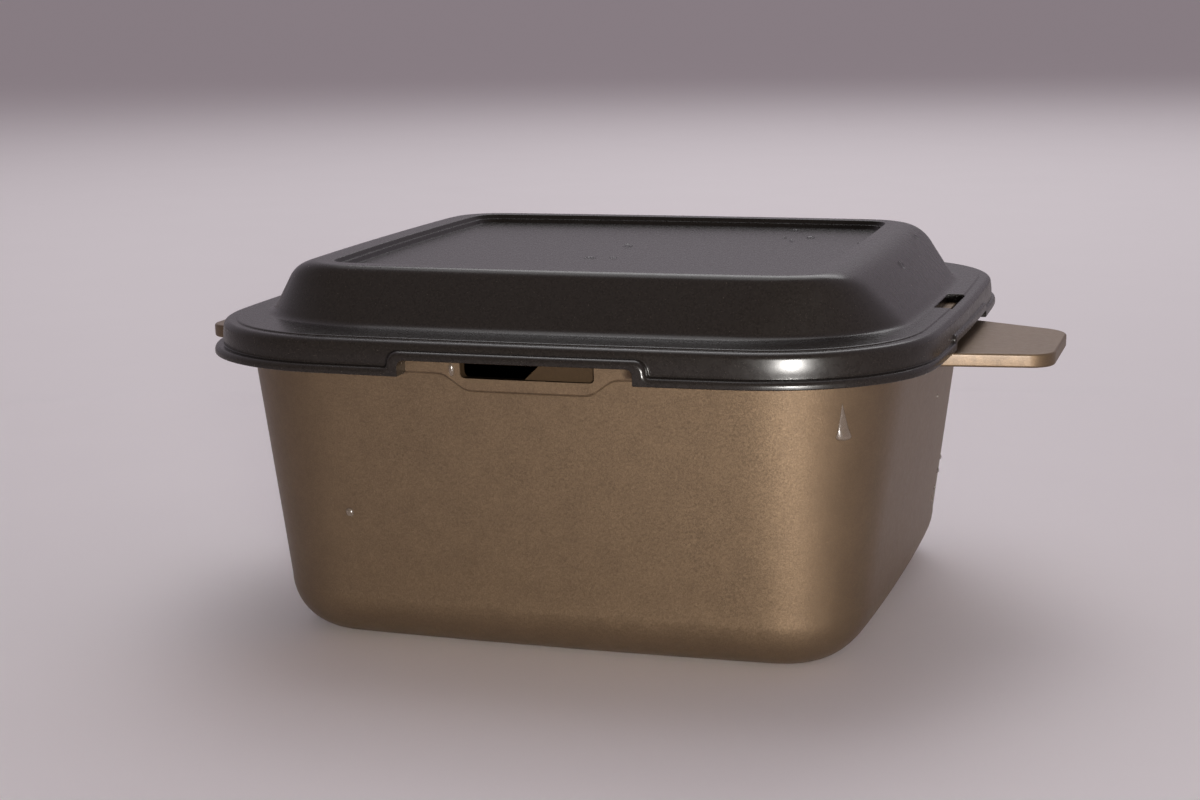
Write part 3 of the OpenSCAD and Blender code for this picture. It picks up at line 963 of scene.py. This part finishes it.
@dataclass
class Lid:
    """The domed lid, with its skirt, stepped lip, slots and catches."""

    outline: Outline
    tub: Tub
    crest_z: float
    wall: float = 2.2
    skirt_t: float = 2.6
    skirt_gap: float = 2.7
    skirt_h: float = 8.2
    rim_edge: float = 1.6
    root_soft: float = 0.2
    barrel_r: float = 20.0
    barrel_up: float = 1.3
    step_in: float = 3.4
    step_h: float = 0.3
    step_ease: float = 3.0
    dome_gap: float = 4.7
    dome_slot_gap: float = 1.4
    dome_run: float = 10.3
    dome_side_run: float = 10.9
    dome_round: float = 8.5
    dome_foot_fillet: float = 3.5
    dome_shoulder: float = 3.6
    dome_side_shoulder: float = 12.0
    least_round: float = 0.6
    ridge_w: float = 3.4
    panel_d: float = 2.3
    panel_ledge: float = 0.9
    ledge_draft: float = 0.3
    ledge_soft: float = 0.35
    ledge_hollow: float = 0.06
    ledge_fine: float = 0.05
    ledge_crisp: float = 0.2
    panel_soft: float = 0.15
    panel_margin: float = 2.0
    bow_rim: float = 2.8
    bow_crest: float = 1.4
    lip_out: float = 2.6
    lip_side_out: float = 0.7
    lip_t: float = 2.0
    lip_soft: float = 1.2
    lip_low_soft: float = 0.3
    cut_front_w: float = 59.4
    cut_front_h: float = 3.9
    cut_side_h: float = 1.9
    cut_r: float = 1.6
    cut_foot: float = 0.3
    slot_w: float = 4.6
    slot_gap: float = 0.5
    slot_over: float = 0.7
    slot_edge: tuple[tuple[float, float], ...] = ((-0.2, 0.0), (-0.06, 0.06), (0.02, 0.2), (1.0, 0.6))
    catch_l: float = 22.0
    catch_h: float = 2.0
    catch_slant: float = 0.6
    catch_hold: float = 1.0
    catch_gap: float = 0.3
    under_soft: float = 0.8
    under_lean: tuple[float, float] = (0.3, 0.7)
    through: float = 1.0
    raised_count: int = 26
    level_count: int = 22
    sweep_count: int = 18
    sweep_foot: float = 0.8
    round_steps: int = 16
    under_steps: int = 5
    lip_steps: int = 6
    edge_steps: int = 3
    rim_steps: int = 10
    skirt_shares: tuple[float, ...] = (0.2, 0.4, 0.6, 0.8)

    def __post_init__(self) -> None:
        """Works out the levels and growths that the other sizes give."""
        self.under_z = self.tub.height
        self.rim_z = self.under_z + self.wall
        self.lip_z = self.rim_z - self.skirt_h
        self.dome_h = self.crest_z - self.rim_z
        self.inner_r = self.tub.bead_r + self.skirt_gap
        self.skirt_r = self.inner_r + self.skirt_t
        self.slot_r = self.inner_r - self.slot_gap - self.slot_w
        self.foot_r = self.tub.rim_inner_r - self.dome_gap
        self.side_foot_r = self.slot_r - self.dome_slot_gap
        self.ridge_inner_r = self.foot_r - self.dome_run - self.dome_shoulder * 0.5 - self.ridge_w
        front = (self.cut_front_w / 2, self.cut_front_h, self.outline.core_x)
        side = (self.tub.tab_root_w / 2, self.cut_side_h, self.outline.core_y)
        self.front_low, self.front_high = self.low_edge(*front), self.high_edge(*front)
        self.side_low, self.side_high = self.low_edge(*side), self.high_edge(*side)
        flat = np.array([1.0, 0.0])
        self.front_plain, self.side_plain = self.front_high * flat, self.side_high * flat

    def beside(self, start: float, end: float) -> np.ndarray:
        """Level [place, lift] rows from the cut-out's end to just short of the corner."""
        return level_run(start, end, self.level_count + 2)[1:-1]

    def low_edge(self, half: float, rise: float, end: float) -> np.ndarray:
        """The lip's lower edge along one side: raised in the cut-out, with a crisp step at its ends.

        Args:
            half: Half the width of the cut-out.
            rise: How far the edge rises in it.
            end: Where the corner of the outline starts.

        Returns:
            [place, lift] rows.
        """
        r = min(self.cut_r, 0.6 * rise)
        raised = level_run(0.0, half - r, self.raised_count, rise)
        turns = self.sweep_count // 2
        top = arc((half - r, rise - r), r, 90.0, 0.0, turns)[1:]
        down = self.sweep_count - turns - 4
        soft = self.cut_foot
        drop = np.column_stack([np.full(down, half), np.linspace(rise - r, soft, down + 1)[1:]])
        foot = arc((half + soft, soft), soft, 180.0, 270.0, 4)[1:]
        return mirrored(np.vstack([raised, top, drop, foot, self.beside(half + soft, end)]))

    def high_edge(self, half: float, rise: float, end: float) -> np.ndarray:
        """The lip's upper edge along one side, which comes down in a round sweep with a hollow foot.

        Args:
            half: Half the width of the cut-out.
            rise: How far the edge rises over it.
            end: Where the corner of the outline starts.

        Returns:
            [place, lift] rows.
        """
        raised = level_run(0.0, half, self.raised_count, rise)
        foot = min(self.sweep_foot, rise / 3)
        turns = self.sweep_count - 4
        sweep = arc((half, foot), rise - foot, 90.0, 0.0, turns)[1:]
        hollow = arc((half + rise, foot), foot, 180.0, 270.0, 4)[1:]
        return mirrored(np.vstack([raised, sweep, hollow, self.beside(half + rise, end)]))

    def level(self, r: float, z: float) -> np.ndarray:
        """A level ring of the rim at a growth and a height."""
        return self.outline.ring(z, r, r, self.bow_rim, self.front_plain, self.side_plain)

    def panel_level(self, r: float, z: float) -> np.ndarray:
        """A level ring of the crest or the panel at a growth and a height."""
        return self.outline.ring(z, r, r, self.bow_crest, self.front_plain, self.side_plain)

    def low_level(self, out: float, side_out: float, rise: float) -> np.ndarray:
        """A ring along the lip's lower edge, out from the skirt's inside, at a rise above that edge."""
        z, r_front, r_side = self.lip_z + rise, self.inner_r + out, self.inner_r + side_out
        return self.outline.ring(z, r_front, r_side, self.bow_rim, self.front_low, self.side_low)

    def high_level(self, out: np.ndarray | float, side_out: np.ndarray | float, rise: float) -> np.ndarray:
        """A ring along the lip's upper edge, out from the skirt's face, at a rise above that edge."""
        return self.outline.ring(
            self.lip_z + self.lip_t + rise,
            self.skirt_r + out,
            self.skirt_r + side_out,
            self.bow_rim,
            moved(self.front_high, rise),
            moved(self.side_high, rise),
        )

    def high_z(self, rise: float) -> np.ndarray:
        """Heights of the points of that ring."""
        return self.high_level(0.0, 0.0, rise)[:, 2]

    def slope_growth(self, height: float, inset: float, foot_r: float, run: float, shoulder: float) -> float:
        """Growth of the dome's slope at a height over its foot, with the rounds at its foot and crest.

        Args:
            height: Height over the foot.
            inset: How far the surface lies inside the outer one.
            foot_r: Growth where the straight slope would meet the foot.
            run: How far the slope runs in from foot to crest.
            shoulder: Radius of the round at the crest.

        Returns:
            The growth.
        """
        s = math.atan2(self.dome_h, run)
        lean = math.tan(s / 2)
        foot_f = self.dome_foot_fillet + inset
        top_f = max(self.least_round, shoulder - inset)
        foot = foot_r - inset * lean
        low = height / foot_f
        high = (self.dome_h - height) / top_f
        if low < 1.0 - math.cos(s):
            return foot + foot_f * (lean - math.sqrt(1.0 - (1.0 - low) ** 2))
        if high < 1.0 - math.cos(s):
            return foot - run - top_f * (lean - math.sqrt(1.0 - (1.0 - high) ** 2))
        return foot - height * run / self.dome_h

    def dome_heights(self, inset: float, steps: int) -> np.ndarray:
        """Heights of the dome's levels over its foot, close together where its rounds are flat.

        Args:
            inset: How far the surface lies inside the outer one.
            steps: Number of stretches in each of the two rounds.

        Returns:
            The heights, from the foot up.
        """
        steep = 1.0 - math.cos(math.atan2(self.dome_h, min(self.dome_run, self.dome_side_run)))
        low = (self.dome_foot_fillet + inset) * steep
        high = (max(self.dome_shoulder, self.dome_side_shoulder) - inset) * steep
        square = np.linspace(0.0, 1.0, steps + 1) ** 2
        between = np.linspace(low, self.dome_h - high, 5)[1:-1]
        return np.concatenate([low * square, between, self.dome_h - high * square[::-1]])

    def dome_level(self, height: float, inset: float) -> np.ndarray:
        """A ring of the dome, whose corners are roundest at the foot.

        Args:
            height: Height over the foot.
            inset: How far the surface lies inside the outer one.

        Returns:
            The ring.
        """
        share = height / self.dome_h
        more = self.dome_round * (1.0 - share)
        front_start = self.cut_front_w / 2 + self.cut_front_h
        side_start = self.tub.tab_root_w / 2 + self.cut_side_h
        return self.outline.ring(
            self.rim_z - inset + height,
            self.slope_growth(height, inset, self.foot_r, self.dome_run, self.dome_shoulder),
            self.slope_growth(height, inset, self.side_foot_r, self.dome_side_run, self.dome_side_shoulder),
            self.bow_rim + (self.bow_crest - self.bow_rim) * share,
            gathered(self.front_plain, front_start, self.outline.core_x, more),
            gathered(self.side_plain, side_start, self.outline.core_y, more),
            more,
        )

    def rings(self) -> list[np.ndarray]:
        """All levels of the shell, from the underside of the panel round the lip to the top panel.

        Returns:
            The rings, in that order.
        """
        low, high = self.under_lean
        made = [
            self.panel_level(self.ridge_inner_r + self.wall * low, self.crest_z - self.panel_d - self.wall),
            self.panel_level(self.ridge_inner_r + self.wall * high, self.crest_z - self.wall),
        ]
        heights = self.dome_heights(self.wall, self.under_steps)[::-1]
        made += [self.dome_level(height, self.wall) for height in heights]
        made += [
            self.level(self.inner_r - self.under_soft, self.under_z),
            self.level(self.inner_r, self.under_z - self.under_soft),
        ]
        made += self.lip_rings()
        made += self.rim_rings()
        heights = self.dome_heights(0.0, self.round_steps)
        made += [self.dome_level(height, 0.0) for height in heights]
        made += self.panel_rings()
        return made

    def lip_rings(self) -> list[np.ndarray]:
        """Levels round the lip: its lower face, its round outer edge and its upper face.

        Returns:
            The rings, in that order.
        """
        wide, narrow = self.skirt_t + self.lip_out, self.skirt_t + self.lip_side_out
        made = [self.low_level(0.0, 0.0, 0.0)]
        for back, rise in rounding(self.lip_low_soft, 90.0, 0.0, self.lip_steps):
            made.append(self.low_level(wide - back, narrow - back, rise))
        for back, drop in rounding(1.0, 0.0, 90.0, self.lip_steps):
            out, side_out = self.lip_out - self.lip_soft * back, self.lip_side_out * (1.0 - back / 2)
            made.append(self.high_level(out, side_out, -self.lip_soft * drop))
        for back, rise in rounding(self.root_soft, 90.0, 0.0, self.edge_steps):
            out = back - self.barrel(self.high_z(rise))
            made.append(self.high_level(out, out, rise))
        return made

    def barrel(self, z: np.ndarray | float) -> np.ndarray | float:
        """How far the skirt's face, a very slight barrel, lies back at a height."""
        return (z - self.lip_z - self.lip_t - self.barrel_up) ** 2 / (2 * self.barrel_r)

    def rim_rings(self) -> list[np.ndarray]:
        """Levels over the skirt's round shoulder and the fine step on the rim.

        Returns:
            The rings, from the skirt's face to the dome's foot.
        """
        top = self.rim_z - self.step_h
        low_z = self.high_z(self.root_soft)
        high_z = top - self.rim_edge
        front, side = moved(self.front_high, self.root_soft), moved(self.side_high, self.root_soft)
        flat = np.array([1.0, 0.0])
        made = []
        for share in self.skirt_shares:
            z = low_z + (high_z - low_z) * share
            r = self.skirt_r - self.barrel(z)
            front_at = (front + (self.front_plain - front) * share) * flat
            side_at = (side + (self.side_plain - side) * share) * flat
            made.append(self.outline.ring(z, r, r, self.bow_rim, front_at, side_at))
        shoulder = self.skirt_r - self.barrel(high_z)
        edge = rounding(self.rim_edge, 0.0, 90.0, self.rim_steps)
        made += [self.level(shoulder - back, top - drop) for back, drop in edge]
        inner = self.skirt_r - self.step_in
        steps = ((0.0, 0.0), (0.35, 0.6), (1.0, 1.0), (self.step_ease, 1.0))
        return made + [self.level(inner - self.step_h * back, top + self.step_h * up) for back, up in steps]

    def panel_rings(self) -> list[np.ndarray]:
        """Levels from the ridge down its ledge to the recessed top panel.

        Returns:
            The rings, from the ridge to the panel.
        """
        mid = self.crest_z - self.panel_d / 2
        low = self.crest_z - self.panel_d
        ledge = self.ridge_inner_r - self.ledge_draft
        inner = ledge - self.panel_ledge
        foot = inner - self.ledge_draft
        fine, crisp, soft = self.ledge_fine, self.ledge_crisp, self.panel_soft
        edge = rounding(self.ledge_soft, 90.0, 0.0, self.edge_steps)
        rows = [(self.ridge_inner_r + back, self.crest_z - drop) for back, drop in edge]
        rows += [(ledge, mid + fine), (ledge - self.ledge_hollow, mid)]
        rows += [(inner + crisp, mid), (inner + fine, mid - fine), (inner, mid - crisp)]
        rows += [(foot, low + soft), (foot - soft, low), (foot - self.panel_margin, low)]
        return [self.panel_level(r, z) for r, z in rows]

    def slot_rings(self) -> list[np.ndarray]:
        """Levels of what is cut out for the right slot in the rim, wider at its softened upper edge.

        Returns:
            The rings, from the lowest up.
        """
        near = self.outline.core_x + self.slot_r
        far = near + self.slot_w
        half = self.catch_l / 2 + self.slot_over
        made = []
        rows = [(self.under_z - self.through, 0.0)]
        rows += [(self.rim_z + rise, grow) for rise, grow in self.slot_edge]
        for z, grow in rows:
            corners = ((near - grow, -half - grow), (far + grow, -half - grow))
            corners += ((far + grow, half + grow), (near - grow, half + grow))
            made.append(np.array([(x, y, z) for x, y in corners]))
        return made

    def catch_rings(self) -> list[np.ndarray]:
        """Levels of the right catch, along its length.

        Returns:
            The rings of its two ends.
        """
        top = self.under_z - self.tub.bead_h - self.catch_gap
        tip = self.outline.core_x + self.tub.bead_r - self.catch_hold
        root = self.outline.core_x + self.inner_r + self.skirt_t / 4
        low = top - self.catch_h
        slant = self.catch_h * self.catch_slant
        rows = ((root, top), (tip, top), (tip, low + slant), (tip + slant, low), (root, low))
        half = self.catch_l / 2
        return [np.array([(x, y, z) for x, z in rows]) for y in (-half, half)]

    def build(self) -> bpy.types.Object:
        """Builds the lid's mesh.

        Returns:
            The finished object.
        """
        solid = Solid("lid_cover")
        solid.start(self.rings())
        for rings in (self.catch_rings(), turned(self.catch_rings())):
            solid.join(Solid.loft("catch", rings))
        for rings in (self.slot_rings(), turned(self.slot_rings())):
            solid.cut(Solid.loft("slot", rings))
        return solid.finish()

    def dress(self, piece: bpy.types.Object, body: GrainedCharcoal, panel: GrainedCharcoal) -> None:
        """Gives the lid its finishes and its place.

        Args:
            piece: The lid.
            body: Its finish.
            panel: The smoother finish of its top panel.
        """
        piece.data.materials.clear()
        piece.data.materials.append(body.material())
        piece.data.materials.append(panel.material())
        panel_z = (self.crest_z - self.panel_d) * MM
        for face in piece.data.polygons:
            level = abs(face.center.z - panel_z) <= NEAR * MM and face.normal.z > FLAT
            face.material_index = 1 if level else 0
        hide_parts("lid")
        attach(piece, "root")


@dataclass(frozen=True)
class Drop:
    """One drop of water on a face: where it is set, its size and the tail that it leaves as it runs down."""

    facing: Facing
    place: tuple[float, float]
    width: float
    length: float
    height: float
    tail: float = 0.0
    pinch: float = 0.8
    pinch_power: float = 0.7
    tail_thin: float = 0.3
    tail_fade: float = 0.75
    round_power: float = 0.65

    def foot(self, share: float, turn: float) -> tuple[float, float]:
        """A point of the drop's foot.

        Args:
            share: Its share of the way from the drop's middle to its edge.
            turn: Its angle.

        Returns:
            The point's place on the face.
        """
        up = math.sin(turn)
        pinch = 1.0 - self.pinch * max(up, 0.0) ** self.pinch_power if self.tail else 1.0
        reach = self.length / 2 + (self.tail if up > 0.0 else 0.0)
        across = self.width / 2 * share * math.cos(turn) * pinch
        return self.place[0] + across, self.place[1] + reach * share * up

    def lift(self, share: float, turn: float) -> float:
        """Thickness of the drop, thin along the tail.

        Args:
            share: The point's share of the way from the drop's middle to its edge.
            turn: The point's angle.

        Returns:
            The thickness there.
        """
        above = (self.length / 2 + self.tail) * share * max(math.sin(turn), 0.0)
        full = math.exp(-((above / (self.tail_fade * self.length)) ** 2)) if self.tail else 1.0
        thin = self.tail_thin + (1.0 - self.tail_thin) * full
        return self.height * max(1.0 - share * share, 0.0) ** self.round_power * thin

    def start(self, across: float, along: float) -> Vector:
        """A point well off the face, from which the drop is pressed on.

        Args:
            across: Its place across the face.
            along: Its place up or along the face.

        Returns:
            The point, in metres.
        """
        far = 300.0
        if self.facing is Facing.FRONT:
            return Vector((across, -far, along)) * MM
        if self.facing is Facing.RIGHT:
            return Vector((far, across, along)) * MM
        return Vector((across, along, far)) * MM


@dataclass
class Dew:
    """The water that has condensed on one piece, as one mesh of drops."""

    name: str
    drops: tuple[Drop, ...]
    rings: int = 8
    turns: int = 28
    sunk: float = 0.03

    def build(self, carrier: bpy.types.Object) -> bpy.types.Object:
        """Builds the drops.

        Args:
            carrier: The piece that carries them.

        Returns:
            Their object.
        """
        seen = carrier.evaluated_get(bpy.context.evaluated_depsgraph_get())
        work = bmesh.new()
        work.from_mesh(seen.to_mesh())
        face = BVHTree.FromBMesh(work)
        work.clear()
        for drop in self.drops:
            self.add(work, face, drop)
        mesh = bpy.data.meshes.new(self.name)
        bmesh.ops.recalc_face_normals(work, faces=work.faces)
        work.to_mesh(mesh)
        work.free()
        mesh.shade_smooth()
        return placed(self.name, mesh)

    def add(self, work: bmesh.types.BMesh, face: BVHTree, drop: Drop) -> None:
        """Adds one closed drop: a round cap over a foot that follows the face.

        Args:
            work: The mesh in the making.
            face: The carrier's faces.
            drop: The drop.
        """
        way = Vector(drop.facing.value)
        angles = np.linspace(0.0, 2 * math.pi, self.turns, endpoint=False)
        caps, feet = [], []
        for step in range(self.rings + 1):
            share = step / self.rings
            at_edge = step == self.rings
            cap_ring, foot_ring = [], []
            for turn in angles if step else angles[:1]:
                spot, normal, _, _ = face.ray_cast(drop.start(*drop.foot(share, turn)), way)
                lift = drop.lift(share, turn) - (self.sunk if at_edge else 0.0)
                cap_ring.append(work.verts.new(spot + normal * lift * MM))
                below = cap_ring[-1] if at_edge else work.verts.new(spot - normal * self.sunk * MM)
                foot_ring.append(below)
            caps.append(cap_ring)
            feet.append(foot_ring)
        for rows in (caps, feet):
            for j in range(self.turns):
                k = (j + 1) % self.turns
                work.faces.new((rows[0][0], rows[1][j], rows[1][k]))
                for low, high in zip(rows[1:], rows[2:]):
                    work.faces.new((low[j], high[j], high[k], low[k]))

    def dress(self, piece: bpy.types.Object, water: ClearWater) -> None:
        """Gives the drops their water and their place."""
        piece.data.materials.append(water.material())
        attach(piece, "root")


TUB_DEW = Dew(
    "tub_dew",
    (
        Drop(Facing.FRONT, (-49.6, 35.4), 2.3, 2.4, 0.7),
        Drop(Facing.FRONT, (73.0, 59.3), 3.2, 2.0, 0.9, 7.4),
        Drop(Facing.FRONT, (-18.8, 73.6), 1.5, 3.4, 0.6),
        Drop(Facing.RIGHT, (11.7, 54.1), 1.2, 1.3, 0.5),
        Drop(Facing.RIGHT, (45.1, 30.0), 1.3, 1.5, 0.5),
        Drop(Facing.RIGHT, (41.8, 26.9), 1.5, 1.7, 0.6),
        Drop(Facing.RIGHT, (40.5, 22.3), 1.3, 1.4, 0.5),
        Drop(Facing.RIGHT, (37.4, 19.3), 1.5, 1.5, 0.6, 1.0),
    ),
)
LID_DEW = Dew(
    "lid_dew",
    (
        Drop(Facing.TOP, (-0.7, 6.0), 3.2, 2.2, 0.6),
        Drop(Facing.TOP, (36.3, 46.4), 1.8, 2.0, 0.5),
        Drop(Facing.TOP, (40.5, 23.9), 1.6, 1.7, 0.5),
        Drop(Facing.TOP, (37.1, 30.2), 1.3, 1.5, 0.4),
        Drop(Facing.TOP, (59.6, 21.0), 1.5, 1.6, 0.4),
        Drop(Facing.TOP, (59.8, 1.0), 1.4, 1.6, 0.4),
        Drop(Facing.TOP, (44.1, 31.3), 2.4, 2.8, 0.5),
        Drop(Facing.TOP, (-3.2, -19.5), 3.6, 1.3, 0.3),
        Drop(Facing.TOP, (2.8, -18.4), 2.6, 1.1, 0.3),
        Drop(Facing.TOP, (72.5, 34.0), 1.7, 1.7, 0.5),
        Drop(Facing.TOP, (75.5, -6.0), 1.7, 1.7, 0.5),
    ),
)


@dataclass(frozen=True)
class Viewpoint:
    """The camera at the photograph's viewing angle."""

    yaw: float = 0.3135466
    pitch: float = 0.1966109
    roll: float = -0.0184107
    target: tuple[float, float, float] = (-7.464, 0.0, 51.405)
    distance: float = 578.0
    lens: float = 63.757
    sensor: float = 36.0

    def place(self) -> bpy.types.Object:
        """Makes the camera and sets it as the scene's.

        Returns:
            The camera.
        """
        turn = Matrix.Rotation(self.yaw, 4, "Z") @ Matrix.Rotation(math.pi / 2 - self.pitch, 4, "X")
        turn = turn @ Matrix.Rotation(self.roll, 4, "Z")
        back = Matrix.Translation((0.0, 0.0, self.distance * MM))
        data = bpy.data.cameras.new("view")
        data.lens = self.lens
        data.sensor_width = self.sensor
        data.sensor_fit = "HORIZONTAL"
        data.clip_start = 0.01
        data.clip_end = 100.0
        camera = placed("view", data)
        camera.matrix_world = Matrix.Translation(Vector(self.target) * MM) @ turn @ back
        bpy.context.scene.camera = camera
        return camera


@dataclass(frozen=True)
class SoftLamp:
    """A flat soft lamp that looks at the container, in metres, with its beam in degrees."""

    name: str
    spot: tuple[float, float, float]
    aim: tuple[float, float, float]
    size: tuple[float, float]
    power: float
    colour: Colour = (1.0, 1.0, 1.0)
    beam: float = 180.0

    def place(self) -> None:
        """Makes the lamp."""
        data = bpy.data.lights.new(self.name, "AREA")
        data.shape = "ELLIPSE"
        data.size, data.size_y = self.size
        data.energy = self.power
        data.spread = math.radians(self.beam)
        data.color = self.colour
        lamp = placed(self.name, data)
        lamp.location = self.spot
        lamp.rotation_mode = "QUATERNION"
        lamp.rotation_quaternion = (Vector(self.aim) - Vector(self.spot)).to_track_quat("-Z", "Y")


@dataclass(frozen=True)
class Studio:
    """The plain floor, the soft surroundings, darker towards the viewer, and the soft lamps."""

    air_front: Colour = (0.12, 0.10, 0.09)
    air_back: Colour = (0.34, 0.30, 0.335)
    floor_radius: float = 60.0
    lamps: tuple[SoftLamp, ...] = (
        SoftLamp("key", (0.57, -1.17, 0.09), (0.0, 0.0, 0.05), (0.26, 0.15), 0.86, (1.0, 0.97, 0.93), 36.0),
        SoftLamp("overhead", (-0.2, 0.5, 1.6), (0.0, 0.0, 0.05), (1.2, 1.2), 4.0),
        SoftLamp("rear", (-0.2, 1.5, 1.5), (0.0, 0.0, 0.05), (1.6, 1.2), 9.0),
    )

    def build(self) -> None:
        """Makes the floor, the world and the lamps."""
        work = bmesh.new()
        bmesh.ops.create_circle(work, cap_ends=True, segments=96, radius=self.floor_radius)
        mesh = bpy.data.meshes.new("ground")
        work.to_mesh(mesh)
        work.free()
        mesh.materials.append(PaleGround().material())
        ground = placed("ground", mesh)
        bpy.context.scene.world = self.surroundings()
        for lamp in self.lamps:
            lamp.place()

    def surroundings(self) -> bpy.types.World:
        """A world whose light fades from the back to the front.

        Returns:
            The world.
        """
        sheet = Sheet("surroundings", bpy.data.worlds)
        way = sheet.node("ShaderNodeSeparateXYZ", Vector=sheet.place.node.outputs["Generated"])
        share = sheet.mapped(way.outputs["Y"], (-0.9, 0.7), way="SMOOTHSTEP")
        air = sheet.node("ShaderNodeBackground", Color=sheet.blend(share, self.air_front, self.air_back))
        sheet.node("ShaderNodeOutputWorld", Surface=air.outputs["Background"])
        return sheet.owner


def main() -> None:
    """Builds the pieces in order, dresses them and reports each."""
    logging.basicConfig(level=logging.INFO, format="%(name)s: %(message)s")
    bpy.context.scene.view_settings.view_transform = "Standard"
    Viewpoint().place()
    Studio().build()
    outline = Outline()
    tub = Tub(outline, height=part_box("tub")[1].z / MM, tab_end=115.4)
    tub_shell = tub.build()
    tub.dress(tub_shell, PearlBronze(), PaintedShadeBronze())
    LOG.info("%s: %d faces", tub_shell.name, len(tub_shell.data.polygons))
    lid = Lid(outline, tub, crest_z=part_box("lid")[1].z / MM)
    lid_cover = lid.build()
    lid.dress(
        lid_cover,
        GrainedCharcoal(),
        GrainedCharcoal(name="smooth_charcoal", grain=0.3, grain_depth=0.0015),
    )
    LOG.info("%s: %d faces", lid_cover.name, len(lid_cover.data.polygons))
    lit = ClearWater(name="lit_water", body=(0.20, 0.16, 0.13), clear=0.0, cover=0.45, bend=2.0)
    for dew, carrier, water in ((TUB_DEW, tub_shell, lit), (LID_DEW, lid_cover, ClearWater())):
        drops = dew.build(carrier)
        dew.dress(drops, water)
        LOG.info("%s: %d drops", drops.name, len(dew.drops))


if __name__ == "__main__":
    main()
